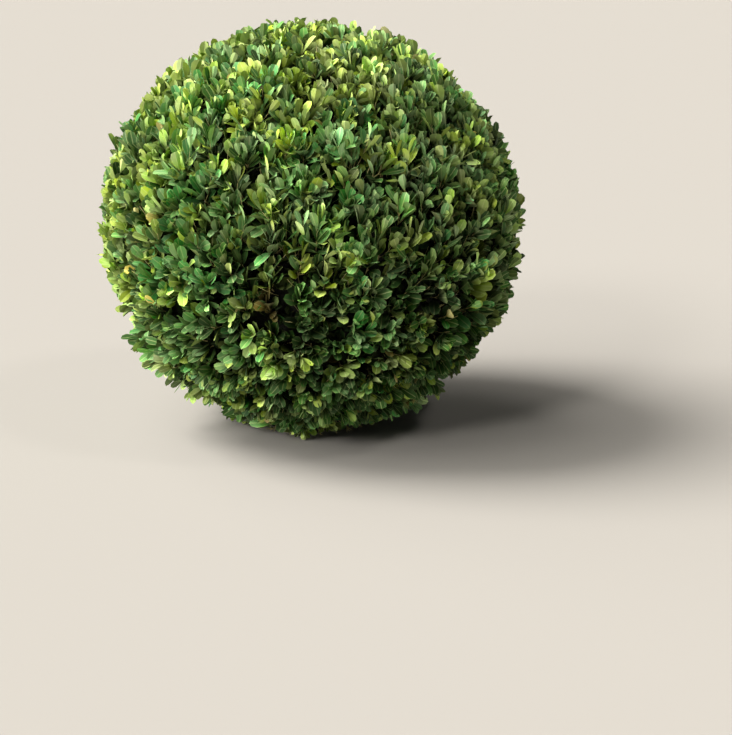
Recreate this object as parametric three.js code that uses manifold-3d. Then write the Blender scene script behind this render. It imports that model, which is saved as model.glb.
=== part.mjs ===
// A preserved box topiary ball: sprigs of small leathery leaves, pinned in courses all round a foam ball.
// Millimetres, +Z up. The origin is the middle of the flat patch that the ball stands on.
import * as THREE from 'three';
import { mergeVertices } from 'three/addons/utils/BufferGeometryUtils.js';
import Module from 'manifold-3d';

const wasm = await Module();
wasm.setup();

const degrees = THREE.MathUtils.degToRad;

// Driving sizes
const BALL_WIDTH = 460; // across the leaf tips
const BALL_HEIGHT = 432; // from the table to the highest leaf tips
const FOOT_RADIUS = 54; // the patch of leaves that the ball's weight presses flat
const FOAM_RADIUS = 152; // a 12 inch foam ball
const LEAF_DEPTH = 34; // from the mat of bound stems out to the leaf tips
const CLEARANCE = 0.35; // between neighbouring pieces
const LEAF_LENGTH = 56; // over twice life size, so that fewer leaves cover the ball
const LEAF_WIDTH = 33;
const LEAF_THICKNESS = 2.4; // on the midrib
const TWIG_RADIUS = 3.6; // at its root, to the corners of its three sides
const TWIG_TIP_RADIUS = 2.4;
const TWIG_LENGTH = 13; // that stands out of the mat
const ROOT_DEPTH = 8; // that a twig is sunk in the mat
const SPRIG_SPACING = 67; // between the sprigs of a row, at the leaf tips
const FEWEST_SPRIGS = 3; // in a row
const FOOT_SPLAY = degrees(-38); // how the sprigs round the foot point
const LEAN = degrees(20); // how far the sprigs point up from square, at the middle of the ball
const LEAN_STARTS = degrees(-60); // the latitude below which they don't lean
const FACETS = 30; // round the ball
const SEED = 2026;

// The shape of a leaf, as shares of its length and of its width
const WIDEST_AT = 0.6;
const RIDGE_HIGHEST_AT = 0.4;
const TIP_WIDTH = 0.48;

// How far chance moves things, either way
const SPRIG_SHIFT = 0.15; // along its row, as a share of the spacing
const SPRIG_TILT = 0.12; // sideways, as a slope
const LEAF_TWIST = degrees(35); // round its twig
const LEAF_NOD = degrees(8); // towards its twig or away
const LENGTH_SPREAD = 0.06; // as a share of a leaf's length

// A leaf that touches another is turned and shortened until it doesn't, and is left out after so many tries.
const TRIES = 14;
const SHORTENED = 0.03;

const FOAM = { color: 0x4c5a3a, roughness: 0.95, metalness: 0 };
const LEAVES = { color: 0x466d2e, roughness: 0.55, metalness: 0 };

// The courses of sprigs, from the table up, and the pairs of leaves on a sprig, from its root up.
const COURSES = ['foot', 'underside', 'lower_side', 'upper_side', 'shoulder', 'crown'];
const ROWS = [0.25, 0.75]; // as shares of the way up a course
const LEAF_PAIRS = [
  { height: 0.3, opening: degrees(74), turn: 0 },
  { height: 0.7, opening: degrees(50), turn: degrees(90) },
];

// The outer surface is an ellipsoid whose foot is cut off flat at the table.
const HALF_WIDTH = BALL_WIDTH / 2;
const HALF_HEIGHT = BALL_HEIGHT / (1 + Math.sqrt(1 - (FOOT_RADIUS / HALF_WIDTH) ** 2));
const CENTRE = new THREE.Vector3(0, 0, BALL_HEIGHT - HALF_HEIGHT);
const OUTER = new THREE.Vector3(HALF_WIDTH, HALF_WIDTH, HALF_HEIGHT);
const MAT = OUTER.clone().subScalar(LEAF_DEPTH);
const NADIR = degrees(-90);
const COURSE_STEP = degrees(180) / COURSES.length;
const TOP_COURSE = COURSES.length - 1;

// A generator of even numbers from 0 to 1 that gives the same run for the same seed.
function seeded(seed) {
  let state = seed;
  return () => {
    state = (state + 0x6d2b79f5) | 0;
    let mixed = Math.imul(state ^ (state >>> 15), state | 1);
    mixed ^= mixed + Math.imul(mixed ^ (mixed >>> 7), mixed | 61);
    return ((mixed ^ (mixed >>> 14)) >>> 0) / 2 ** 32;
  };
}

const either = (random, most) => most * (2 * random() - 1);

const outward = (latitude) => new THREE.Vector3(Math.cos(latitude), 0, Math.sin(latitude));

// How a sprig grows, in the half plane over +X: from the foam at a latitude, square to it but for the lean.
function growth(latitude) {
  const lean = LEAN * Math.cos(latitude) * THREE.MathUtils.smoothstep(latitude, LEAN_STARTS, 0);
  const start = outward(latitude).multiplyScalar(FOAM_RADIUS + CLEARANCE).add(CENTRE);
  return { start, direction: outward(latitude + lean) };
}

// The distance from a point inside an ellipsoid about the ball's centre to its surface, along a direction.
function reach(point, direction, halves) {
  const from = point.clone().sub(CENTRE).divide(halves);
  const along = direction.clone().divide(halves);
  const [a, b, c] = [along.dot(along), from.dot(along), from.dot(from) - 1];
  return (-b + Math.sqrt(b * b - a * c)) / a;
}

// Where the sprigs at a latitude come out of the mat of bound stems.
function matPoint(latitude) {
  const { start, direction } = growth(latitude);
  return start.clone().addScaledVector(direction, reach(start, direction, MAT));
}

// How far a point is above the surface swept round the ball by the growth at a latitude.
function heightAbove(latitude, point) {
  const { start, direction } = growth(latitude);
  const out = Math.hypot(point.x, point.y) - start.x;
  return direction.x * (point.z - start.z) - direction.z * out;
}

// The latitudes of a course's lower edge, middle and upper edge, with half the clearance kept at each edge.
function courseLatitudes(index) {
  const inset = CLEARANCE / 2 / FOAM_RADIUS;
  const low = NADIR + index * COURSE_STEP + (index > 0 ? inset : 0);
  const high = NADIR + (index + 1) * COURSE_STEP - (index < TOP_COURSE ? inset : 0);
  return [low, (low + high) / 2, high];
}

// A closed mesh with its corners shared, and without the faces that a pole squeezes to nothing.
function closed(geometry) {
  geometry.deleteAttribute('normal');
  geometry.deleteAttribute('uv');
  const merged = mergeVertices(geometry);
  const faces = [];
  for (let i = 0; i < merged.index.count; i += 3) {
    const face = merged.index.array.slice(i, i + 3);
    if (new Set(face).size === 3) faces.push(...face);
  }
  return merged.setIndex(faces);
}

// A profile of points over +X, turned round the ball's upright axis.
function turned(profile) {
  const points = profile.map((point) => new THREE.Vector2(point.x, point.z));
  return closed(new THREE.LatheGeometry(points, FACETS).rotateX(degrees(90)));
}

// The bare foam ball, with its facets in line with those of the mat round it.
function foamBall() {
  const steps = 2 * COURSES.length;
  const profile = Array.from({ length: steps + 1 }, (_, i) =>
    outward(NADIR + (i * COURSE_STEP) / 2).multiplyScalar(FOAM_RADIUS).add(CENTRE)
  );
  profile[0].x = profile[steps].x = 0;
  return turned(profile);
}

// The mat of stems bound to the foam, which one course's sprigs stand out of. The foot's is pressed flat.
function stemMat(index) {
  const latitudes = courseLatitudes(index);
  const outside = latitudes.map(matPoint);
  const inside = latitudes.map((latitude) => growth(latitude).start).reverse();
  if (index === 0) {
    inside[2].x = 0;
    outside.splice(0, 2, new THREE.Vector3(0, 0, 0), new THREE.Vector3(FOOT_RADIUS, 0, 0));
  }
  if (index === TOP_COURSE) outside[2].x = inside[0].x = 0;
  const profile = [...outside, ...inside];
  if (index > 0) profile.push(outside[0].clone());
  return turned(profile);
}

// A closed mesh as a solid that can be joined to others.
const solidOf = (geometry) =>
  new wasm.Manifold(
    new wasm.Mesh({
      numProp: 3,
      vertProperties: new Float32Array(geometry.getAttribute('position').array),
      triVerts: new Uint32Array(geometry.index.array),
    })
  );

// A three-sided twig that tapers to its tip.
function twig(from, direction, length) {
  const stick = closed(new THREE.CylinderGeometry(TWIG_TIP_RADIUS, TWIG_RADIUS, length, 3));
  const turn = new THREE.Quaternion().setFromUnitVectors(new THREE.Vector3(0, 1, 0), direction);
  return stick.translate(0, length / 2, 0).applyQuaternion(turn).translate(from.x, from.y, from.z);
}

// A box leaf along +Y with its upper side to +Z: pointed at its root, widest past its middle, blunt at its
// tip, flat below, and ridged above along its midrib.
function leaf(length) {
  const halfWidth = ((LEAF_WIDTH / 2) * length) / LEAF_LENGTH;
  const halfTip = TIP_WIDTH * halfWidth;
  const outline = [
    [0, 0, 0],
    [halfWidth, WIDEST_AT * length, 0],
    [halfTip, length, 0],
    [-halfTip, length, 0],
    [-halfWidth, WIDEST_AT * length, 0],
  ];
  const ridge = [0, RIDGE_HIGHEST_AT * length, LEAF_THICKNESS];
  const above = outline.flatMap((_, i) => [i, (i + 1) % outline.length, outline.length]);
  const below = [0, 4, 1, 1, 4, 2, 2, 4, 3];
  const geometry = new THREE.BufferGeometry();
  geometry.setAttribute('position', new THREE.Float32BufferAttribute([...outline, ridge].flat(), 3));
  return geometry.setIndex([...above, ...below]);
}

// A leaf whose root is sunk in its twig, opening away to one side of it, and trimmed to the ball's surface.
function growLeaf(start, direction, away, opening, longest) {
  const along = direction.clone().multiplyScalar(Math.cos(opening)).addScaledVector(away, Math.sin(opening));
  const across = new THREE.Vector3().crossVectors(away, direction);
  const upper = new THREE.Vector3().crossVectors(across, along);
  const root = start.clone().addScaledVector(away, CLEARANCE);
  const length = Math.min(longest, reach(root, along, OUTER));
  return leaf(length).applyMatrix4(new THREE.Matrix4().makeBasis(across, along, upper).setPosition(root));
}

function overlap(solid, other) {
  const [a, b] = [solid.boundingBox(), other.boundingBox()];
  const near = [0, 1, 2].every((axis) => a.min[axis] < b.max[axis] && b.min[axis] < a.max[axis]);
  return near && !solid.intersect(other).isEmpty();
}

// Does a piece keep clear of the table and of the courses above and below its own?
function keepsToCourse(index, geometry) {
  const [low, , high] = courseLatitudes(index);
  const position = geometry.getAttribute('position');
  const point = new THREE.Vector3();
  for (let i = 0; i < position.count; i++) {
    point.fromBufferAttribute(position, i);
    if (point.z < CLEARANCE) return false;
    if (index > 0 && heightAbove(low, point) < CLEARANCE) return false;
    if (index < TOP_COURSE && heightAbove(high, point) > -CLEARANCE) return false;
  }
  return true;
}

// The leaves of one sprig, in opposite pairs, each pair a quarter turn round from the last and more upright.
function sprigLeaves(index, root, direction, side, others, random) {
  const leaves = [];
  for (const { height, opening, turn } of LEAF_PAIRS) {
    const start = root.clone().addScaledVector(direction, height * TWIG_LENGTH);
    for (const half of [0, degrees(180)]) {
      for (let attempt = 0; attempt < TRIES; attempt++) {
        const away = side.clone().applyAxisAngle(direction, turn + half + either(random, LEAF_TWIST));
        const angle = opening + either(random, LEAF_NOD);
        const longest = LEAF_LENGTH * (1 + either(random, LENGTH_SPREAD)) * (1 - SHORTENED * attempt);
        const geometry = growLeaf(start, direction, away, angle, longest);
        if (!keepsToCourse(index, geometry)) continue;
        const solid = solidOf(geometry);
        if ([...others, ...leaves].some((other) => overlap(solid, other))) continue;
        leaves.push(solid);
        break;
      }
    }
  }
  return leaves;
}

// Where both rows of a course's sprigs come out of its mat over +X, and how they point. Those of the foot
// splay out of its mat's sloping side.
function rows(index) {
  const [low, , high] = courseLatitudes(index);
  return ROWS.map((share) => {
    if (index === 0) {
      const origin = new THREE.Vector3(FOOT_RADIUS, 0, 0).lerp(matPoint(high), share);
      return { origin, grows: outward(FOOT_SPLAY) };
    }
    const latitude = THREE.MathUtils.lerp(low, high, share);
    return { origin: matPoint(latitude), grows: growth(latitude).direction };
  });
}

// One course's mat with its sprigs in rows, each row's sprigs between those of the row below.
function course(index, random) {
  const solids = [solidOf(stemMat(index))];
  rows(index).forEach(({ origin, grows }, row) => {
    const ring = 2 * Math.PI * (origin.x + LEAF_DEPTH * grows.x);
    const count = Math.max(FEWEST_SPRIGS, Math.round(ring / SPRIG_SPACING));
    for (let i = 0; i < count; i++) {
      const around = ((i + row / 2 + either(random, SPRIG_SHIFT)) / count) * 2 * Math.PI;
      const spin = new THREE.Matrix4().makeRotationZ(around);
      const root = origin.clone().applyMatrix4(spin);
      const side = new THREE.Vector3(0, 1, 0).applyMatrix4(spin);
      const direction = grows.clone().applyMatrix4(spin);
      direction.addScaledVector(side, either(random, SPRIG_TILT)).normalize();
      side.addScaledVector(direction, -side.dot(direction)).normalize();
      const sunk = root.clone().addScaledVector(direction, -ROOT_DEPTH);
      const stick = twig(sunk, direction, ROOT_DEPTH + TWIG_LENGTH);
      if (!keepsToCourse(index, stick)) continue;
      const leaves = sprigLeaves(index, root, direction, side, solids, random);
      solids.push(solidOf(stick), ...leaves);
    }
  });
  return fused(solids);
}

// Joins the solids, fills any hollow that this seals, and drops loose scraps.
function fused(solids) {
  const parts = wasm.Manifold.union(solids).decompose();
  const whole = parts.reduce((largest, part) => (part.volume() > largest.volume() ? part : largest));
  const { vertProperties, triVerts } = whole.getMesh();
  const geometry = new THREE.BufferGeometry();
  geometry.setAttribute('position', new THREE.BufferAttribute(vertProperties, 3));
  geometry.setIndex(new THREE.BufferAttribute(triVerts, 1));
  geometry.computeVertexNormals();
  return geometry;
}

function named(name, geometry, finish) {
  const mesh = new THREE.Mesh(geometry, new THREE.MeshStandardMaterial(finish));
  mesh.name = name;
  return mesh;
}

const ball = new THREE.Group();
ball.add(named('foam_ball', foamBall(), FOAM));
COURSES.forEach((place, index) => {
  ball.add(named(`foliage_${place}`, course(index, seeded(SEED + index)), LEAVES));
});

export default ball;
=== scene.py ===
from math import cos, pi, radians, sin, sqrt

import bpy
import numpy as np
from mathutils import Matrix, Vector


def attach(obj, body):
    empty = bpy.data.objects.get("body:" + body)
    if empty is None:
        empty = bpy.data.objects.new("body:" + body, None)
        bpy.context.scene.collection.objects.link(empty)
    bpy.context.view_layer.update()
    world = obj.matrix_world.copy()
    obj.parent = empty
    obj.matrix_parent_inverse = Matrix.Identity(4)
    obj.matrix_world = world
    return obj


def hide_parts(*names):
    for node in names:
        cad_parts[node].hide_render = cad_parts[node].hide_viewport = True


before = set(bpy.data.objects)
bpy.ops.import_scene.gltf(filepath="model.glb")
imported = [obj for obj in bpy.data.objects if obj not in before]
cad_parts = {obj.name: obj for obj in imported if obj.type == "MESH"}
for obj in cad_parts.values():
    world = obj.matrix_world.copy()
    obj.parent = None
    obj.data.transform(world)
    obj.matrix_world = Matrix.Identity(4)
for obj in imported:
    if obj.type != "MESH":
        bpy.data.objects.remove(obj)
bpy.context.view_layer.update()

# The ball's own sizes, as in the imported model
BALL_WIDTH = 0.460
BALL_HEIGHT = 0.432
FOOT_RADIUS = 0.054  # of the flat patch
FOAM_RADIUS = 0.152
LEAF_DEPTH = 0.034  # from the mat of bound stems to the leaf tips
CLEARANCE = 0.00035  # between neighbouring courses
FOOT_SPLAY = radians(-38)  # the slope of the foot's sprigs
LEAN = radians(20)  # how far sprigs lean upwards where they leave the foam, at the ball's middle
LEAN_STARTS = radians(-60)  # the latitude above which they lean
SEED = 2026

HALF_WIDTH = BALL_WIDTH / 2
HALF_HEIGHT = BALL_HEIGHT / (1 + sqrt(1 - (FOOT_RADIUS / HALF_WIDTH) ** 2))
CENTRE = np.array([0, 0, BALL_HEIGHT - HALF_HEIGHT])
OUTER = np.array([HALF_WIDTH, HALF_WIDTH, HALF_HEIGHT])  # the half axes of the ball's outer surface
MAT = OUTER - LEAF_DEPTH  # and those of the mat
COURSES = ["foot", "underside", "lower_side", "upper_side", "shoulder", "crown"]
COURSE_STEP = pi / len(COURSES)
TOP_COURSE = len(COURSES) - 1

# Box leaves at the size of life
LEAF_LENGTH = 0.0250
LEAF_WIDTH = 0.0112
LEAF_THICKNESS = 0.0005  # from the midrib's ridge to its keel
LENGTHS = (0.72, 1.14)  # the shortest and longest leaf, as shares of that length
INNER_LENGTHS = (0.7, 1.1)
WIDTHS = (0.9, 1.12)  # the narrowest and widest, likewise
FOLDS = (0.05, 0.5)  # how steeply a blade's halves rise from the midrib
CURL_MEAN, CURL_SPREAD = -0.05, 0.09  # how far its tip bends up, as a share of its length
NOTCHES = (-0.01, 0.05)  # how far its tip is drawn back, likewise
OUTER_ROWS = {0.17: 0.14, 0.42: 0.38, 0.70: 0.50, 0.91: 0.35}  # its half width at places along it, as shares
INNER_ROWS = {0.35: 0.36, 0.75: 0.48}

# Sprigs: a leader with side shoots. Their outer surfaces are shares of the ball's.
SPRIG_SPACING = 0.0240  # between the sprigs of a row, at the leaf tips
ROWS_IN_COURSE = 6
FOOT_ROWS = 5
FEWEST_IN_ROW = 3
STRAY_AROUND, STRAY_UP = 0.3, 0.4  # how far a sprig strays from its place, as shares of the spacing
ROOT_DEPTH, SMALL_ROOT_DEPTH = 0.003, 0.004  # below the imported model's mat
TIP_LEAN = radians(68)  # how far a sprig's tip points up from square, at the middle of the ball
TIP_LEAN_STARTS = radians(-65)
TIP_LEAN_FULL = radians(0)
OUTLINE_MEAN, OUTLINE_SPREAD = 0.973, 0.025
OUTLINE_LEAST, OUTLINE_MOST = 0.91, 1.02
SHOOT_LENGTHS = (0.010, 0.040)
LEADER_SPARE, SIDE_SPARE = 0.018, 0.016  # what a shoot leaves for its last leaves to reach its surface
FORKS = (0.1, 0.5)  # where side shoots leave a leader, as shares of its length
FORK_CHANCES = (0.9, 0.6)  # that a leader has its first side shoot, and its second
FORK_SLOPE, FORK_TIP_SLOPE = 0.9, 0.25  # how far a side shoot points away at its root and its tip
FORK_STRAY = 0.9  # how far it is turned from its place round the leader
SIDE_LOWER = 0.03  # how much lower its surface may lie than its leader's
LUMPS = 0.014  # how far the outline swells and sinks in broad lumps
SWAY = 0.30  # how far neighbouring sprigs lean the same way, as a slope
BROAD = (0.09, 0.20)  # the wavelengths of both
ROOT_SCATTER, TIP_SCATTER, SIDE_SCATTER = 0.12, 0.13, 0.22  # how far each strays by itself, as a slope

# The pairs of leaves on a shoot, where two numbers are the lowest pair's and the last's
LEADER_PAIRS = 4
SIDE_PAIRS = 3
PAIR_PLACES = (0.25, 1.0)  # as shares of the shoot's length
PAIR_OPENINGS = (36, 15)  # degrees from the shoot
PAIR_SIZES = (1.0, 0.82)
PLACE_STRAY, TURN_STRAY, OPENING_SPREAD = 0.04, 0.4, 0.15
FLATTENED = 0.5  # how much flatter than round the sprays get
LOW_OPEN = 0.15  # how much further from their twigs the leaves of round sprays stand
FLAT_FROM, FLAT_TO = -0.6, 0.2  # over these heights, as shares of the half height
FACING_MEAN, FACING_SPREAD = 0.5, 0.45  # how far blades of flat sprays turn outwards, most on the bright side
FACING_LEAST, FACING_MOST, FACING_EXTRA = 0.15, 0.75, 0.05  # the range of chance about that
LEVEL = (0.0, 0.95)  # how nearly level the blades of the lowest leaves lie
LEVEL_FROM, LEVEL_TO = -0.65, -0.1
TWIST, FLAT_TWIST = 0.5, 0.25  # how far the blades turn by chance, and how much less in flat sprays
STAND_OUT = (-0.003, 0.007)  # how far a leaf's tip may pass its shoot's surface
LEAST_LEAF = 0.6  # a leaf with room for less than this share of its length is left out

# Small leaves and bare stalks strewn between the sprigs: how many for each metre up a course, times the
# cosine of its middle latitude
INNER_LEAVES = 11000
BARE_STEMS = 2200
INNER_SCATTER, STALK_SCATTER = 0.55, 0.35
STALK_OUTLINES = (0.90, 0.965)

TWIG_RADIUS = 0.0009  # where a leader leaves the mat
SIDE_TWIG, BARE_STALK = 0.7, 0.5  # the radii of side shoots and stalks, as shares of it
TWIG_TIP = 0.35
TWIG_SIDES = 4
TWIG_RINGS = np.array([-0.25, 0.3, 0.65, 1.0])  # as shares of the shoot's length, the first of them sunk in
PRESSED = 0.004  # the height below which the table presses the foot's leaves flat

# The mat of bound stems
MAT_AROUND = 180
MAT_STEPS = 14
MAT_BELOW = 0.006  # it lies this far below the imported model's, so that leaves cover it
FOOT_STEPS = 6  # across its flat patch, and up the slope beside it
FOOT_LIFT, LEAST_LIFT = 0.002, 0.001  # above the table
RELIEF = 0.0022
ROUGHNESS = (0.010, 0.026)  # the wavelengths of its relief


def smoothstep(value, low, high):
    """0 below low, 1 above high, and 3t^2 - 2t^3 of the share t of the way between them."""
    t = np.clip((value - low) / (high - low), 0, 1)
    return t * t * (3 - 2 * t)


def unit(vectors):
    """The vectors, each divided by its own length."""
    return vectors / np.linalg.norm(vectors, axis=-1, keepdims=True)


def dot(a, b):
    """The dot product of each pair of vectors, as a column."""
    return np.sum(a * b, axis=-1, keepdims=True)


def outward(latitude, around):
    """Unit vectors at a latitude and a turn round the upright axis."""
    level = np.cos(latitude)
    return np.stack([level * np.cos(around), level * np.sin(around), np.sin(latitude) + 0 * around], axis=-1)


def joined(groups):
    """Groups of arrays joined into one, each kind of array end to end."""
    return {kind: np.concatenate([group[kind] for group in groups]) for kind in groups[0]}


def only(group, kept):
    """The members of a group of arrays that are kept."""
    return {kind: values[kept] for kind, values in group.items()}


# The side of the ball that is bright in the photograph: to the left and above, and a little behind
BRIGHT_SIDE = unit(np.array([-0.5, 0.35, 0.7]))


def reach(points, directions, halves):
    """How far it is from points inside an ellipsoid about the ball's centre to its surface: the larger root t
    of |(p + t d) / halves| = 1."""
    start = (points - CENTRE) / halves
    along = directions / halves
    a, b, c = dot(along, along), dot(along, start), dot(start, start) - 1
    return (-b + np.sqrt(np.maximum(b * b - a * c, 0))) / a


def growth(latitude, around):
    """Where a sprig leaves the foam, and its direction there: square to the foam, but for a lean that grows
    with the latitude and with the latitude's cosine."""
    lean = LEAN * np.cos(latitude) * smoothstep(latitude, LEAN_STARTS, 0)
    start = CENTRE + (FOAM_RADIUS + CLEARANCE) * outward(latitude, around)
    return start, outward(latitude + lean, around)


def tip_direction(latitude, around):
    """Where a sprig's tip points: outwards, with a lean that grows as the root's does but further."""
    lean = TIP_LEAN * np.cos(latitude) * smoothstep(latitude, TIP_LEAN_STARTS, TIP_LEAN_FULL)
    return outward(latitude + lean, around)


def mat_point(latitude, around, depth=0.0):
    """Where the growth line of a latitude comes out of the mat, or lies a depth below the mat's surface."""
    start, direction = growth(latitude, around)
    return start + reach(start, direction, MAT - depth) * direction


def bumps(points, seed, wavelengths):
    """Relief from about -1 to 1: twice the mean of nine sines of chance wavelengths and directions."""
    random = np.random.default_rng(seed)
    directions = unit(random.normal(0, 1, (9, 3))) * 2 * pi / random.uniform(*wavelengths, (9, 1))
    return 2 * np.mean(np.sin(points @ directions.T + random.uniform(0, 2 * pi, 9)), axis=-1)


def swayed(directions, points):
    """The directions, each pushed the way that all the sprigs near its point lean."""
    push = np.stack([bumps(points, SEED + axis, BROAD) for axis in (1, 2, 3)], axis=-1)
    return unit(directions + SWAY * push)


def scattered(random, directions, spread):
    """The directions, each tilted by chance with a spread as a slope."""
    return unit(directions + random.normal(0, spread, directions.shape))


def course_latitudes(index):
    """The latitudes of a course's lower and upper edges, with half the clearance kept at each edge."""
    inset = CLEARANCE / 2 / FOAM_RADIUS
    low = -pi / 2 + index * COURSE_STEP + (inset if index > 0 else 0)
    high = -pi / 2 + (index + 1) * COURSE_STEP - (inset if index < TOP_COURSE else 0)
    return low, high


def strewn(index, density, random):
    """The latitudes and turns of points that chance spreads evenly over a course."""
    low, high = course_latitudes(index)
    count = round(density * (high - low) * OUTER[0] * cos((low + high) / 2))
    return np.arcsin(random.uniform(sin(low), sin(high), count)), random.uniform(0, 2 * pi, count)


def place_on(shoots, t):
    """A shoot's point and direction at the share t of its length: its direction turns evenly from the first
    to the last, so the point is root + length ((t - t^2/2) first + t^2/2 last)."""
    first, last = shoots["first"], shoots["last"]
    point = shoots["root"] + shoots["length"] * ((t - t * t / 2) * first + t * t / 2 * last)
    return point, unit((1 - t) * first + t * last)


def fitted(shoots, spare):
    """Shoots of the length that takes each along its mean direction to within spare of its own surface."""
    chord = shoots["first"] / 2 + shoots["last"] / 2
    size = np.linalg.norm(chord, axis=-1, keepdims=True)
    gap = reach(shoots["root"], chord / size, OUTER * shoots["outline"])
    shoots["length"] = np.clip((gap - spare) / size, *SHOOT_LENGTHS)
    return shoots


def leaders(index, random):
    """The main shoots of a course, in rows round it, each row's shoots between those of the row below. The
    foot's rows lie between the rim of its flat patch and the mat's edge above, and its shoots splay alike."""
    low, high = course_latitudes(index)
    row_count = FOOT_ROWS if index == 0 else ROWS_IN_COURSE
    rim, edge = np.array([FOOT_RADIUS, 0, 0]), mat_point(np.array(high), np.array(0.0))
    rows = []
    for row in range(row_count):
        share = (row + 0.5) / row_count
        place = rim + share * (edge - rim)
        if index == 0:
            ring = place[0] + LEAF_DEPTH * cos(FOOT_SPLAY)
        else:
            ring = OUTER[0] * cos(low + share * (high - low))
        count = max(FEWEST_IN_ROW, round(2 * pi * ring / SPRIG_SPACING))
        stray_around = random.uniform(-STRAY_AROUND, STRAY_AROUND, count)
        around = (np.arange(count) + row % 2 / 2 + stray_around) * 2 * pi / count
        stray_up = random.uniform(-STRAY_UP, STRAY_UP, count)
        if index == 0:
            root = place[0] * outward(0 * around, around) + [0, 0, place[2]]
            first = last = outward(FOOT_SPLAY + 0 * around, around)
        else:
            latitude = np.clip(low + (share + stray_up / row_count) * (high - low), low, high)
            root = mat_point(latitude, around, ROOT_DEPTH)
            first, last = growth(latitude, around)[1], tip_direction(latitude, around)
        rows.append((root, first, last))
    root, first, last = (np.concatenate(parts) for parts in zip(*rows))
    outline = random.normal(OUTLINE_MEAN, OUTLINE_SPREAD, (len(root), 1))
    outline = outline + LUMPS * bumps(root, SEED + 4, BROAD)[:, None]
    shoots = {
        "root": root,
        "first": scattered(random, swayed(first, root), ROOT_SCATTER),
        "last": scattered(random, swayed(last, root), TIP_SCATTER),
        "outline": np.clip(outline, OUTLINE_LEAST, OUTLINE_MOST),
        "sprig": np.arange(len(root)),
    }
    return fitted(shoots, LEADER_SPARE)


def side_shoots(parents, random):
    """Shoots that fork from the lower half of the leaders, to alternate sides, and turn up beside them."""
    count = len(parents["root"])
    made = []
    for number, chance in enumerate(FORK_CHANCES):
        point, direction = place_on(parents, random.uniform(*FORKS, (count, 1)))
        side = unit(np.cross(direction, unit(point - CENTRE)) + 1e-6)
        turn = random.uniform(-FORK_STRAY, FORK_STRAY, (count, 1)) + number * pi
        away = np.cos(turn) * side + np.sin(turn) * np.cross(direction, side)
        shoots = {
            "root": point,
            "first": unit(direction + FORK_SLOPE * away),
            "last": scattered(random, parents["last"] + FORK_TIP_SLOPE * away, SIDE_SCATTER),
            "outline": parents["outline"] - random.uniform(0, SIDE_LOWER, (count, 1)),
            "sprig": parents["sprig"],
        }
        kept = random.uniform(0, 1, count) < chance
        made.append(only(fitted(shoots, SIDE_SPARE), kept))
    return joined(made)


def bare_stems(index, random):
    """Thin stalks without leaves, which stick up through the leaves at all angles."""
    latitude, around = strewn(index, BARE_STEMS, random)
    shoots = {
        "root": mat_point(latitude, around, SMALL_ROOT_DEPTH),
        "first": scattered(random, growth(latitude, around)[1], STALK_SCATTER),
        "last": scattered(random, tip_direction(latitude, around), STALK_SCATTER),
        "outline": random.uniform(*STALK_OUTLINES, (len(around), 1)),
    }
    return fitted(shoots, 0.0)


def leaf_template(half_widths):
    """One leaf as a root, a tip and four points in each row between them: the left edge, the ridge of the
    midrib above, the right edge and its keel below. Gives each point's share across, along and up, the
    corners of its triangles, and each corner's UV, where the underside lies one above the upper side."""
    rows = len(half_widths)
    across, along, up = [0.0], [0.0], [0.0]
    for place, half in half_widths.items():
        across += [-half, 0, half, 0]
        along += [place] * 4
        up += [0, 0.5, 0, -0.5]
    across, along, up = across + [0], along + [1], up + [0]
    tip = len(across) - 1
    left, ridge, right, keel = (np.arange(rows) * 4 + 1 + k for k in range(4))
    above = [(0, right[0], ridge[0]), (0, ridge[0], left[0])]
    above += [(ridge[-1], right[-1], tip), (left[-1], ridge[-1], tip)]
    below = [(0, keel[0], right[0]), (0, left[0], keel[0])]
    below += [(keel[-1], tip, right[-1]), (left[-1], tip, keel[-1])]
    strips = (above, ridge, right), (above, left, ridge), (below, right, keel), (below, keel, left)
    for faces, a, b in strips:
        for i in range(rows - 1):
            faces += [(a[i], b[i], b[i + 1]), (a[i], b[i + 1], a[i + 1])]
    corners = np.array(above + below)
    side = np.full(len(across), 0.5)
    side[left], side[right] = 0.0, 1.0
    uv = np.stack([side[corners], np.array(along)[corners]], axis=-1)
    uv[len(above):, :, 1] += 1.0
    return np.array([across, along, up]).T, corners, uv


OUTER_LEAF, INNER_LEAF = leaf_template(OUTER_ROWS), leaf_template(INNER_ROWS)


def blade_shapes(count, random):
    """How wide each leaf is, how far it is folded and curled and how far its tip is drawn back, as shares."""
    column = (count, 1)
    return {
        "width": LEAF_WIDTH / LEAF_LENGTH * random.uniform(*WIDTHS, column),
        "fold": random.uniform(*FOLDS, column),
        "curl": random.normal(CURL_MEAN, CURL_SPREAD, column),
        "notch": random.uniform(*NOTCHES, column),
    }


def blade_axes(along, upper, out, flat, random):
    """The axes across a leaf and up from it. Its upper side turns by chance from the way the shoot gives it
    towards outwards in flat sprays, and towards level low down, and then it twists about its length."""
    facing = flat * (FACING_MEAN + FACING_SPREAD * dot(out, BRIGHT_SIDE))
    turned = random.uniform(FACING_LEAST * facing, FACING_EXTRA + FACING_MOST * facing)
    upper = (1 - turned) * upper + turned * np.where(dot(upper, out) < 0, -out, out)
    level = random.uniform(*LEVEL, turned.shape) * (1 - smoothstep(out[:, 2:], LEVEL_FROM, LEVEL_TO))
    upper = (1 - level) * upper + level * np.array([0, 0, 1])
    upper = unit(upper - dot(upper, along) * along)
    across = np.cross(along, upper)
    twist = random.normal(0, 1, turned.shape) * (TWIST - FLAT_TWIST * flat)
    return np.cos(twist) * across + np.sin(twist) * upper, np.cos(twist) * upper - np.sin(twist) * across


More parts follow.
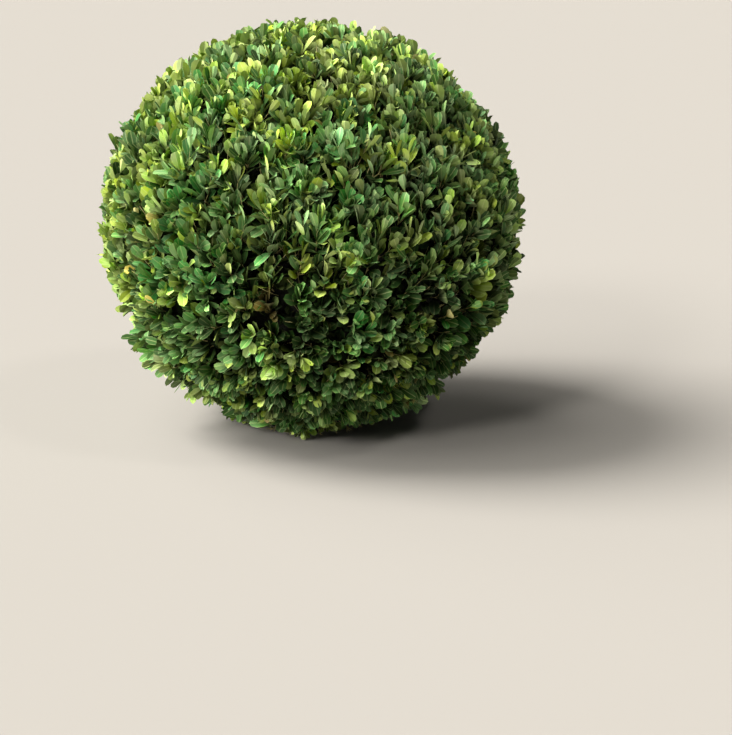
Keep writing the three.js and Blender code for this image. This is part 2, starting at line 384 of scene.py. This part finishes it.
def leaves_on(shoots, pairs, random):
    """The leaves of shoots, in opposite pairs, each pair a quarter turn round from the last and more upright.
    Towards the top of the ball the sprays are flatter. A leaf is trimmed to its shoot's own outer surface,
    and left out where there is too little room for it."""
    places, sizes = np.linspace(*PAIR_PLACES, pairs), np.linspace(*PAIR_SIZES, pairs)
    openings = np.radians(np.linspace(*PAIR_OPENINGS, pairs))
    count = len(shoots["root"])
    column = (count, 1)
    first_turn = random.uniform(0, pi, column)
    made = []
    for pair, half in [(pair, half) for pair in range(pairs) for half in range(2)]:
        point, direction = place_on(shoots, places[pair] + random.uniform(-PLACE_STRAY, PLACE_STRAY, column))
        out = unit(point - CENTRE)
        flat = smoothstep(out[:, 2:], FLAT_FROM, FLAT_TO)
        side = unit(np.cross(direction, out) + 1e-6)
        turn = first_turn + (pair / 2 + half) * pi + random.uniform(-TURN_STRAY, TURN_STRAY, column)
        away = np.cos(turn) * side + (1 - FLATTENED * flat) * np.sin(turn) * np.cross(direction, side)
        away = unit(away)
        angle = openings[pair] * (1 + LOW_OPEN * (1 - flat)) + random.normal(0, OPENING_SPREAD, column)
        along = np.cos(angle) * direction + np.sin(angle) * away
        upper = np.cross(np.cross(away, direction), along)
        across, upper = blade_axes(along, upper, out, flat, random)
        length = LEAF_LENGTH * sizes[pair] * random.uniform(*LENGTHS, column)
        room = reach(point, along, OUTER * shoots["outline"]) + random.uniform(*STAND_OUT, column)
        leaves = {"root": point, "along": along, "across": across, "upper": upper}
        leaves |= {"length": np.minimum(length, room), "sprig": shoots["sprig"]}
        made.append(only(leaves | blade_shapes(count, random), (room > LEAST_LEAF * length)[:, 0]))
    return joined(made)


def inner_leaves(index, random):
    """Small leaves that stand on the mat between the sprigs, at all angles, later painted dark as shade."""
    latitude, around = strewn(index, INNER_LEAVES, random)
    count = len(around)
    root = mat_point(latitude, around, SMALL_ROOT_DEPTH)
    along = scattered(random, growth(latitude, around)[1], INNER_SCATTER)
    across = unit(np.cross(along, random.normal(0, 1, along.shape)))
    length = LEAF_LENGTH * random.uniform(*INNER_LENGTHS, (count, 1))
    leaves = {"root": root, "along": along, "across": across, "upper": np.cross(across, along)}
    leaves |= {"length": np.minimum(length, reach(root, along, OUTER * OUTLINE_LEAST))}
    return leaves | blade_shapes(count, random)


def pressed(points):
    """Points with what lies below the height h of the pressed leaves squeezed to h exp(z/h - 1), which is
    never below the table."""
    z = points[..., 2]
    points[..., 2] = np.where(z < PRESSED, PRESSED * np.exp(np.minimum(z, PRESSED) / PRESSED - 1), z)
    return points


def leaf_points(leaves, template):
    """Every leaf's points: its template's shares across, along and up, times its own width, length and
    thickness, on its own three axes. It is folded up on its midrib, and curls with the square of y."""
    x, y, z = template[0].T
    length = leaves["length"]
    across = x * length * leaves["width"]
    along = np.where(y == 1, 1 - leaves["notch"], y) * length
    up = z * LEAF_THICKNESS + leaves["fold"] * np.abs(across) + leaves["curl"] * y**2 * length
    parts = ((across, "across"), (along, "along"), (up, "upper"))
    place = [part[:, :, None] * leaves[axis][:, None, :] for part, axis in parts]
    return pressed(leaves["root"][:, None, :] + sum(place))


def repeated(corners, points_each, count):
    """The corners of one small mesh, carried on to count copies whose points follow on from each other."""
    return (corners[None] + points_each * np.arange(count)[:, None, None]).reshape(-1, 3)


def twigs_on(shoots, thickness):
    """A tube along each shoot, with square sections that taper evenly. Gives its points and corners."""
    count, rings = len(shoots["root"]), len(TWIG_RINGS)
    points = []
    for t, radius in zip(TWIG_RINGS, thickness * np.linspace(1, TWIG_TIP, rings)):
        point, direction = place_on(shoots, t)
        side = unit(np.cross(direction, unit(shoots["root"] - CENTRE) + 1e-4))
        other = np.cross(direction, side)
        for k in range(TWIG_SIDES):
            angle = 2 * pi * k / TWIG_SIDES
            points.append(point + radius * (cos(angle) * side + sin(angle) * other))
    corners = []
    for ring in range(rings - 1):
        for k in range(TWIG_SIDES):
            a, b = ring * TWIG_SIDES + k, ring * TWIG_SIDES + (k + 1) % TWIG_SIDES
            corners += [(a, b, b + TWIG_SIDES), (a, b + TWIG_SIDES, a + TWIG_SIDES)]
    last = (rings - 1) * TWIG_SIDES
    corners += [(0, 2, 1), (0, 3, 2), (last, last + 1, last + 2), (last, last + 2, last + 3)]
    points = pressed(np.stack(points, axis=1))
    return points.reshape(-1, 3), repeated(np.array(corners), rings * TWIG_SIDES, count)


def mat_profile(index):
    """The section of a course's mat, in the plane y = 0, and how rough each of its points is: up its outside
    and back down the foam, or for the top course down the foam and back up, so that ends lie on the axis."""
    low, high = course_latitudes(index)
    latitudes = np.linspace(low, high, MAT_STEPS)
    inside = growth(latitudes, 0 * latitudes)[0][::-1]
    outside, rough = mat_point(latitudes, 0 * latitudes, MAT_BELOW), np.ones(MAT_STEPS)
    if index == 0:
        flat = np.linspace([0, 0, FOOT_LIFT], [FOOT_RADIUS, 0, FOOT_LIFT], FOOT_STEPS)
        sloping = np.linspace([FOOT_RADIUS, 0, 0], outside[-1], FOOT_STEPS)[1:]
        outside = np.concatenate([flat, sloping])
        rough = np.concatenate([np.zeros(len(flat)), np.ones(len(sloping))])
    points, roughs = [outside, inside], [rough, np.zeros(MAT_STEPS)]
    if index == TOP_COURSE:
        points, roughs = points[::-1], roughs[::-1]
    return np.concatenate(points), np.concatenate(roughs)


def stem_mat(index):
    """The mat of bound stems of a course: its section turned round the upright axis, with relief on its
    outside. Ends of the section on the axis are single points. Gives its points and corners."""
    profile, rough = mat_profile(index)
    closed_ring = index not in (0, TOP_COURSE)
    body = slice(None) if closed_ring else slice(1, -1)
    radii, heights, rough = profile[body, 0, None, None], profile[body, 2, None, None], rough[body]
    columns = np.arange(MAT_AROUND)
    grid = radii * outward(0 * columns, columns * 2 * pi / MAT_AROUND)[None] + [0, 0, 1] * heights
    grid += (RELIEF * rough[:, None] * bumps(grid, SEED, ROUGHNESS))[..., None] * unit(grid - CENTRE)
    points = grid.reshape(-1, 3)
    rows = np.arange(len(grid) if closed_ring else len(grid) - 1)[:, None] * MAT_AROUND
    a, b = rows + columns, rows + (columns + 1) % MAT_AROUND
    c, d = (b + MAT_AROUND) % len(points), (a + MAT_AROUND) % len(points)
    corners = np.stack([np.stack([a, b, c], axis=-1), np.stack([a, c, d], axis=-1)], axis=1).reshape(-1, 3)
    if not closed_ring:
        start, last = len(points), len(points) - MAT_AROUND
        points = np.concatenate([points, [profile[0] * [0, 0, 1]], [profile[-1] * [0, 0, 1]]])
        a, b = columns, (columns + 1) % MAT_AROUND
        first_cap, last_cap = (0 * a + start, b, a), (last + a, last + b, 0 * a + start + 1)
        corners = np.concatenate([corners, np.stack(first_cap, axis=1), np.stack(last_cap, axis=1)])
    points[:, 2] = np.maximum(points[:, 2], LEAST_LIFT)
    return points, corners


# Materials
MIX_FACTOR, MIX_A, MIX_B, MIX_RESULT = 0, 6, 7, 2  # a colour Mix node's sockets
NOISE_LOW, NOISE_HIGH = 0.3, 0.7  # where nearly all of a noise texture's values lie
VEIN_SPACING = 0.0017
LEAF_VEINS, LEAF_UNDERSIDE, LEAF_STALK = "c3cf86", "b2c67c", "b3a365"
UNDERSIDE_PALENESS = 0.25  # how much of that colour the underside of every leaf takes

# The leaves' colours: each one's share of the sprigs, and how fast that share grows towards the bright side.
# Light colours are dealt more towards the bright side and deep ones towards the shaded side: partly the
# leaves' own tints, partly painted light.
LEAF_COLOURS = {
    "box_leaf_lime": ("a4bd3e", 0.10, 1.5),
    "box_leaf_deep": ("395f26", 0.25, -1.6),
    "box_leaf_green": ("5d9048", 0.28, -0.3),
    "box_leaf_fresh": ("8eb04a", 0.18, 1.0),
    "box_leaf_yellow_green": ("97b146", 0.10, 1.4),
    "box_leaf_emerald": ("4a9044", 0.10, 0.3),
    "box_leaf_olive": ("70843a", 0.06, -0.9),
    "box_leaf_straw": ("c4b65c", 0.008, 0.0),
    "box_leaf_brown_tinged": ("887a40", 0.006, -0.5),
}
CHANGED = 0.3  # the share of leaves that don't take their sprig's colour
CHANGED_CONTRAST = 0.2  # how much of the bright side's say they keep
MIDDLE_LINE = 0.2  # how far behind the centre the ball's colours and painted light turn back, as a share of the half width

# How light the leaves are painted, from 0 to 1 where the material's own colour is 1: random tone, with
# painted shade deeper in and painted light towards the bright side
INNER_SHADE = 0.09  # of the innermost, beside the outermost
INNER_SPREAD = 0.5
SHADE_RANGE = (0.85, 0.98)  # from the innermost to the outermost, as shares of the ball's half width
SHADED_SIDE_DEEPER, BRIGHT_DEEPER = 0.035, 0.02  # how much further out or in the painted shade starts on the shaded side and on the bright side
SHADED_SIDE_FROM, SHADED_SIDE_TO = 0.3, 0.8
SPRIG_SPREAD, LEAF_SPREAD = 0.18, 0.3  # how unlike sprigs are, and the leaves of one sprig
SPREAD_MEAN, SPREAD_FALL = 1.12, 0.5  # both are greater on the shaded side
# painted light: how fast the leaves lighten towards the bright side, as a power of e, and where that adds
# nothing
BRIGHT_GAIN, BRIGHT_FULL = 0.10, 0.8
DARKEST, LIGHTEST, LIGHTEST_FALL = -1.2, 0.42, 0.7  # the limits, as powers of e
FOLD_LINES = radians(24)  # faces that meet at more than this look creased


def linear(hex_code):
    """An sRGB hex colour as linear red, green, blue and alpha."""
    srgb = np.array([int(hex_code[i : i + 2], 16) / 255 for i in (0, 2, 4)])
    low, high = srgb / 12.92, ((srgb + 0.055) / 1.055) ** 2.4
    return (*np.where(srgb <= 0.04045, low, high), 1.0)


def new_material(name, **sockets):
    """A material with constants on its shader's own sockets. Gives it and its shader."""
    material = bpy.data.materials.new(name)
    material.use_nodes = True
    shader = material.node_tree.nodes["Principled BSDF"]
    for socket, value in sockets.items():
        shader.inputs[socket.replace("_", " ")].default_value = value
    return material, shader


def add_node(owner, kind, inputs=None, **settings):
    """Adds a node to a material or the world, with its settings. Each of its inputs is given a value, or
    another node's output to link."""
    new = owner.node_tree.nodes.new(kind)
    for name, value in settings.items():
        setattr(new, name, value)
    for key, value in (inputs or {}).items():
        if isinstance(value, bpy.types.NodeSocket):
            wire(owner, value, new.inputs[key])
        else:
            new.inputs[key].default_value = value
    return new


def wire(owner, output, target):
    """Links one node's output to another's input."""
    owner.node_tree.links.new(output, target)


def box_leaf(name, hex_code):
    """Preserved box leaf: leathery and kept supple with glycerine, so it has a soft, slightly waxy sheen. Its
    midrib and rim are paler, its underside is paler and duller, and fine side veins ripple it. Each point's
    tone, which holds painted shade and painted light, darkens or lightens its colour."""
    material, shader = new_material(name, IOR=1.45, Specular_IOR_Level=0.12)
    uv = add_node(material, "ShaderNodeUVMap", uv_map="leaf")
    split = add_node(material, "ShaderNodeSeparateXYZ", {"Vector": uv.outputs["UV"]})
    offset = add_node(material, "ShaderNodeMath", {0: split.outputs["X"], 1: 0.5}, operation="SUBTRACT")
    aside = add_node(material, "ShaderNodeMath", {0: offset.outputs[0]}, operation="ABSOLUTE").outputs[0]
    # the midrib is 1 mm wide, and the rim a little less
    near_midrib = {"Value": aside, "From Min": 0.02, "From Max": 0.07, "To Min": 0.38, "To Max": 0.0}
    midrib = add_node(material, "ShaderNodeMapRange", near_midrib)
    near_rim = {"Value": aside, "From Min": 0.42, "From Max": 0.5, "To Min": 0.0, "To Max": 0.35}
    rim = add_node(material, "ShaderNodeMapRange", near_rim)
    either = {0: midrib.outputs["Result"], 1: rim.outputs["Result"]}
    pale = add_node(material, "ShaderNodeMath", either, operation="MAXIMUM")
    beyond = {0: split.outputs["Y"], 1: 1.0001}
    under = add_node(material, "ShaderNodeMath", beyond, operation="GREATER_THAN").outputs[0]
    # the blade is mottled in patches 9 mm across
    place = add_node(material, "ShaderNodeTexCoord").outputs["Object"]
    patches = {"Vector": place, "Scale": 1 / 0.009, "Detail": 3.0}
    mottle = add_node(material, "ShaderNodeTexNoise", patches).outputs["Fac"]
    # the tone attribute: random tone with painted shade and painted light, multiplied into the colour
    tone = add_node(material, "ShaderNodeAttribute", attribute_name="tone").outputs["Fac"]
    varied = {"Value": mottle, "From Min": NOISE_LOW, "From Max": NOISE_HIGH, "To Min": 0.84, "To Max": 1.16}
    light = add_node(material, "ShaderNodeMapRange", varied).outputs["Result"]
    value = add_node(material, "ShaderNodeMath", {0: tone, 1: light}, operation="MULTIPLY").outputs[0]
    upper = linear(hex_code)
    paler = UNDERSIDE_PALENESS
    lower = tuple((1 - paler) * c + paler * p for c, p in zip(upper, linear(LEAF_UNDERSIDE)))
    sides = {MIX_FACTOR: under, MIX_A: upper, MIX_B: lower}
    colour = add_node(material, "ShaderNodeMix", sides, data_type="RGBA").outputs[MIX_RESULT]
    lines = {MIX_FACTOR: pale.outputs[0], MIX_A: colour, MIX_B: linear(LEAF_VEINS)}
    colour = add_node(material, "ShaderNodeMix", lines, data_type="RGBA").outputs[MIX_RESULT]
    way = add_node(material, "ShaderNodeMath", {0: split.outputs["Y"], 1: under}, operation="SUBTRACT")
    at_root = {"Value": way.outputs[0], "From Min": 0.04, "From Max": 0.16, "To Min": 0.8, "To Max": 0.0}
    stalk = add_node(material, "ShaderNodeMapRange", at_root)
    stalked = {MIX_FACTOR: stalk.outputs["Result"], MIX_A: colour, MIX_B: linear(LEAF_STALK)}
    colour = add_node(material, "ShaderNodeMix", stalked, data_type="RGBA").outputs[MIX_RESULT]
    # leaves differ, over 22 mm, in how far they are bleached, and where the tone is darkest, deep in the
    # ball, the colour is made richer, as painted shade
    kinds_of_leaf = {"Vector": place, "Scale": 1 / 0.022, "Detail": 1.0}
    bleach = add_node(material, "ShaderNodeTexNoise", kinds_of_leaf)
    kinds = add_node(material, "ShaderNodeSeparateColor", {"Color": bleach.outputs["Color"]})
    bleached = {"Value": kinds.outputs["Red"], "From Min": NOISE_LOW, "From Max": NOISE_HIGH}
    richness = add_node(material, "ShaderNodeMapRange", bleached | {"To Min": 0.74, "To Max": 1.05})
    # painted shade: the darker the tone, the richer the colour
    shaded = {"Value": tone, "From Min": 0.1, "From Max": 0.8, "To Min": 1.15, "To Max": 1.0}
    inside = add_node(material, "ShaderNodeMapRange", shaded)
    both = {0: richness.outputs["Result"], 1: inside.outputs["Result"]}
    rich = add_node(material, "ShaderNodeMath", both, operation="MULTIPLY").outputs[0]
    turned = {"Value": kinds.outputs["Green"], "From Min": NOISE_LOW, "From Max": NOISE_HIGH}
    hue = add_node(material, "ShaderNodeMapRange", turned | {"To Min": 0.495, "To Max": 0.506})
    finish = {"Hue": hue.outputs["Result"], "Saturation": rich, "Value": value, "Color": colour}
    toned = add_node(material, "ShaderNodeHueSaturation", finish)
    wire(material, toned.outputs["Color"], shader.inputs["Base Color"])
    # side veins, which slope forward from the midrib
    slope = {0: aside, 1: -0.6, 2: split.outputs["Y"]}
    forward = add_node(material, "ShaderNodeMath", slope, operation="MULTIPLY_ADD").outputs[0]
    turns = {0: forward, 1: 2 * pi * LEAF_LENGTH / VEIN_SPACING}
    phase = add_node(material, "ShaderNodeMath", turns, operation="MULTIPLY").outputs[0]
    veins = add_node(material, "ShaderNodeMath", {0: phase}, operation="SINE").outputs[0]
    ripples = {0: veins, 1: 0.35, 2: mottle}
    relief = add_node(material, "ShaderNodeMath", ripples, operation="MULTIPLY_ADD").outputs[0]
    bump = add_node(material, "ShaderNodeBump", {"Height": relief, "Strength": 0.35, "Distance": 0.0002})
    wire(material, bump.outputs["Normal"], shader.inputs["Normal"])
    waxy = {"Value": mottle, "From Min": NOISE_LOW, "From Max": NOISE_HIGH, "To Min": 0.5, "To Max": 0.64}
    gloss = add_node(material, "ShaderNodeMapRange", waxy).outputs["Result"]
    duller = add_node(material, "ShaderNodeMath", {0: under, 1: 0.15, 2: gloss}, operation="MULTIPLY_ADD")
    wire(material, duller.outputs[0], shader.inputs["Roughness"])
    return material


def finish_rough(material, shader, pattern, colours, relief, strength, depth):
    """Colours a rough surface from the first colour to the second as a pattern rises, and bumps it."""
    shades = {MIX_FACTOR: pattern, MIX_A: linear(colours[0]), MIX_B: linear(colours[1])}
    colour = add_node(material, "ShaderNodeMix", shades, data_type="RGBA").outputs[MIX_RESULT]
    wire(material, colour, shader.inputs["Base Color"])
    bump = add_node(material, "ShaderNodeBump", {"Height": relief, "Strength": strength, "Distance": depth})
    wire(material, bump.outputs["Normal"], shader.inputs["Normal"])
    return material


def dry_twig():
    """Dry box twig: matt and fibrous, tan where it is bare, with green bark in patches of 20 mm. Its fibres
    are drawn 0.8 mm apart, coarser than life."""
    material, shader = new_material("dry_box_twig", IOR=1.45, Roughness=0.75)
    place = add_node(material, "ShaderNodeTexCoord").outputs["Object"]
    bark = {"Vector": place, "Scale": 1 / 0.02, "Detail": 4.0}
    patches = add_node(material, "ShaderNodeTexNoise", bark).outputs["Fac"]
    fine = {"Vector": place, "Scale": 1 / 0.0008, "Detail": 2.0}
    fibres = add_node(material, "ShaderNodeTexNoise", fine).outputs["Fac"]
    return finish_rough(material, shader, patches, ("7d7f48", "b8a978"), fibres, 0.4, 0.0001)


def bound_stems_in_painted_shade():
    """The mat of bound stems and small leaves: dark stems, painted near black as shade so that the gaps
    between the sprigs look deep, and streaked with stems about 2 mm thick.
    """
    material, shader = new_material("bound_stem_mat_in_painted_shade", IOR=1.4, Roughness=0.85)
    place = add_node(material, "ShaderNodeTexCoord").outputs["Object"]
    streaks = {"Vector": place, "Scale": 1 / 0.004, "Detail": 5.0, "Distortion": 1.2}
    stems = add_node(material, "ShaderNodeTexNoise", streaks).outputs["Fac"]
    # near black: the stems' own dark colour, deepened as painted shade
    return finish_rough(material, shader, stems, ("050603", "15180d"), stems, 0.9, 0.0015)


def craft_foam():
    """Rigid craft foam: matt, with open pores that make it crumbly, drawn 1.2 mm apart, coarser than life."""
    material, shader = new_material("rigid_craft_foam", IOR=1.4, Roughness=0.95)
    place = add_node(material, "ShaderNodeTexCoord").outputs["Object"]
    cells = add_node(material, "ShaderNodeTexVoronoi", {"Vector": place, "Scale": 1 / 0.0012})
    pores = cells.outputs["Distance"]
    return finish_rough(material, shader, pores, ("3d4a2c", "66744f"), pores, 0.8, 0.0006)


def bright_share(points):
    """How far each point lies towards the bright side, from -1 to 1 as a column: behind the ball's middle
    line as it is as far in front of it."""
    place = unit(points - CENTRE)
    place[:, 1] = MIDDLE_LINE - np.abs(place[:, 1] - MIDDLE_LINE)
    return dot(place, BRIGHT_SIDE)


def deal(random, points, contrast=1.0):
    """The number of a leaf colour for each point: chances are each share times exp(growth x side), where side
    is how far the point lies towards the bright side, from -1 to 1, times the contrast. So lighter colours
    lie more on the bright side: partly the leaves' own tints, partly painted light."""
    side = contrast * bright_share(points)
    shares = np.array([share for _, share, _ in LEAF_COLOURS.values()])
    growths = np.array([growth for _, _, growth in LEAF_COLOURS.values()])
    chances = np.cumsum(shares * np.exp(growths * side), axis=-1)
    draw = random.uniform(0, 1, (len(points), 1)) * chances[:, -1:]
    return np.sum(draw > chances, axis=-1)


def leaf_tones_and_painted_light(roots, points, sprig_tones, random):
    """How light each point of each leaf is painted: painted shade that darkens it with its depth, times e to
    the power of painted light that grows towards the bright side, and of its sprig's tone and its own, which
    differ more on the shaded side and have limits."""
    depth = np.linalg.norm((points - CENTRE) / OUTER, axis=-1)
    towards = bright_share(roots)[:, 0]
    away = -towards[:, None]
    dark = SHADE_RANGE[0] + SHADED_SIDE_DEEPER * smoothstep(away, SHADED_SIDE_FROM, SHADED_SIDE_TO)
    dark = dark - BRIGHT_DEEPER * smoothstep(-away, 0.0, 1.0)
    # painted shade: darker deeper in the ball, and so darker down each leaf towards its root
    shade = INNER_SHADE + (1 - INNER_SHADE) * smoothstep(depth, dark, SHADE_RANGE[1])
    own = sprig_tones + random.normal(0, LEAF_SPREAD, len(roots))
    power = BRIGHT_GAIN * (towards - BRIGHT_FULL) + (SPREAD_MEAN - SPREAD_FALL * towards) * own
    return shade * np.exp(np.clip(power, DARKEST, LIGHTEST - LIGHTEST_FALL * towards))[:, None]


def add_piece(kind, course, points, corners, slot):
    """A new mesh object of the ball, which stands for its course's node. Gives its mesh."""
    name = f"{kind}_{course}"
    mesh = bpy.data.meshes.new(name)
    mesh.from_pydata(points, [], corners)
    for material in FINISHES[slot]:
        mesh.materials.append(material)
    mesh.polygons.foreach_set("use_smooth", np.full(len(corners), True))
    piece = bpy.data.objects.new(name, mesh)
    bpy.context.scene.collection.objects.link(piece)
    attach(piece, "root")
    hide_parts(f"foliage_{course}")
    return mesh


def add_leaves(kind, course, points, colours, tones_with_painted_light, template):
    """A piece of leaves of one template, with a colour for each and a tone, which holds painted shade and
    painted light, for each of their points.
    """
    shares, leaf_corners, uv = template
    count = len(points)
    corners = repeated(leaf_corners, len(shares), count)
    mesh = add_piece(kind, course, points.reshape(-1, 3), corners, "leaves")
    mesh.polygons.foreach_set("material_index", np.repeat(colours, len(leaf_corners)).astype(np.int32))
    mesh.uv_layers.new(name="leaf").uv.foreach_set("vector", np.tile(uv.ravel(), count).astype(np.float32))
    # each point's tone, painted shade and painted light included
    tone = mesh.attributes.new("tone", "FLOAT", "POINT")
    tone.data.foreach_set("value", tones_with_painted_light.ravel().astype(np.float32))
    mesh.set_sharp_from_angle(angle=FOLD_LINES)


def grow_course(index, course):
    """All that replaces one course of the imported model: its leaves, its twigs and its mat. A sprig's leaves
    share its colour, but for some that chance changes."""
    random = np.random.default_rng(SEED + index)
    stray = np.random.default_rng(SEED + 100 + index)
    main = leaders(index, random)
    side = side_shoots(main, random)
    sprig_colours = deal(random, main["root"])
    sprig_tones = random.normal(0, SPRIG_SPREAD, len(sprig_colours))
    points, colours, tones_with_painted_light = [], [], []
    for shoots, pairs in ((main, LEADER_PAIRS), (side, SIDE_PAIRS)):
        grown = leaves_on(shoots, pairs, random)
        root, sprig = grown["root"], grown["sprig"]
        changed = random.uniform(0, 1, len(sprig)) < CHANGED
        points.append(leaf_points(grown, OUTER_LEAF))
        colours.append(np.where(changed, deal(random, root, CHANGED_CONTRAST), sprig_colours[sprig]))
        tones_with_painted_light.append(leaf_tones_and_painted_light(root, points[-1], sprig_tones[sprig], random))
    outer = (np.concatenate(parts) for parts in (points, colours, tones_with_painted_light))
    add_leaves("leaves", course, *outer, OUTER_LEAF)
    inner = inner_leaves(index, stray)
    # painted shade: the inner leaves are painted dark, with a random spread
    inner_painted_shade = INNER_SHADE * np.exp(stray.normal(0, INNER_SPREAD, (len(inner["root"]), 1)))
    inner_painted_shade = np.repeat(inner_painted_shade, len(INNER_LEAF[0]), axis=1)
    inner_colours = deal(stray, inner["root"])
    add_leaves("inner_leaves", course, leaf_points(inner, INNER_LEAF), inner_colours, inner_painted_shade, INNER_LEAF)
    sticks, stick_corners, start = [], [], 0
    for shoots, share in ((main, 1), (side, SIDE_TWIG), (bare_stems(index, stray), BARE_STALK)):
        stick, corners = twigs_on(shoots, share * TWIG_RADIUS)
        sticks.append(stick)
        stick_corners.append(corners + start)
        start += len(stick)
    add_piece("twigs", course, np.concatenate(sticks), np.concatenate(stick_corners), "twigs")
    add_piece("stem_mat", course, *stem_mat(index), "stem_mat")


# The ball
FINISHES = {
    "leaves": [box_leaf(name, hex_code) for name, (hex_code, _, _) in LEAF_COLOURS.items()],
    "twigs": [dry_twig()],
    "stem_mat": [bound_stems_in_painted_shade()],
}
for course_index, course_name in enumerate(COURSES):
    grow_course(course_index, course_name)
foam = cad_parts["foam_ball"]
foam.data.materials.clear()
foam.data.materials.append(craft_foam())

# The plain pale floor, matt, and so wide that its edge is hardly seen
FLOOR_HALF = 36
floor_corners = [(x * FLOOR_HALF, y * FLOOR_HALF, 0) for x, y in ((-1, -1), (1, -1), (1, 1), (-1, 1))]
floor_mesh = bpy.data.meshes.new("floor")
floor_mesh.from_pydata(floor_corners, [], [(0, 1, 2, 3)])
floor = bpy.data.objects.new("floor", floor_mesh)
bpy.context.scene.collection.objects.link(floor)
floor_material, floor_shader = new_material("pale_studio_floor", Roughness=1.0, Specular_IOR_Level=0.0)
floor_shader.inputs["Base Color"].default_value = linear("8c8a88")
floor_mesh.materials.append(floor_material)

# Faint light from all round, and beyond the floor's edge a backdrop as pale as the floor, for the eye alone
world = bpy.data.worlds.new("studio")
bpy.context.scene.world = world
world.use_nodes = True
faint = world.node_tree.nodes["Background"]
faint.inputs["Color"].default_value = linear("ecefe2")
faint.inputs["Strength"].default_value = 0.07
backdrop = add_node(world, "ShaderNodeBackground", {"Color": linear("e5ded1")})
rays = add_node(world, "ShaderNodeLightPath")
room_light = {0: rays.outputs["Is Camera Ray"], 1: faint.outputs[0], 2: backdrop.outputs[0]}
room = add_node(world, "ShaderNodeMixShader", room_light)
wire(world, room.outputs[0], world.node_tree.nodes["World Output"].inputs["Surface"])
bpy.context.scene.view_settings.view_transform = "Standard"

# Soft studio light, in the photograph's directions: where each light comes from, its strength in watts per
# square metre and how many degrees across it is
LIGHT_COLOUR = linear("fffaf0")
LIGHTS = {
    "back_light": ((-0.66, 0.08, 0.75), 6.2, 30),  # the brightest, from the upper left
    "side_light": ((-0.95, -0.15, 0.3), 2.5, 40),  # low on the left, under the ball's widest line
    "front_light": ((-0.5, -0.7, 0.5), 1.6, 12),  # fills the side that the camera sees
    "right_light": ((0.6, -0.78, 0.05), 0.3, 6),  # catches leaves on the right
    "top_light": ((0.5, -0.3, 0.8), 0.5, 8),  # keeps the top right from going dark
    "high_light": ((-0.75, 0.0, 0.65), 4.0, 90),  # wide and soft, round the brightest
}
for light_name, (towards, strength, width) in LIGHTS.items():
    lamp = bpy.data.lights.new(light_name, "SUN")
    lamp.energy, lamp.angle, lamp.color = strength, radians(width), LIGHT_COLOUR[:3]
    holder = bpy.data.objects.new(light_name, lamp)
    holder.rotation_euler = Vector(towards).to_track_quat("Z", "Y").to_euler()
    bpy.context.scene.collection.objects.link(holder)

# The camera: 1.93 m from the ball's middle and 11 degrees above it, turned down and to the right as in the
# photograph, where the ball stands left of the middle
VIEW_DISTANCE = 1.93
VIEW_HEIGHT = radians(11)
CAMERA_TILT = radians(15.45)
CAMERA_TURN = radians(1.78)
camera_data = bpy.data.cameras.new("camera")
camera_data.lens = 88.2
camera = bpy.data.objects.new("camera", camera_data)
camera.location = CENTRE + VIEW_DISTANCE * np.array([0, -cos(VIEW_HEIGHT), sin(VIEW_HEIGHT)])
camera.rotation_euler = (pi / 2 - CAMERA_TILT, 0, -CAMERA_TURN)
bpy.context.scene.collection.objects.link(camera)
bpy.context.scene.camera = camera
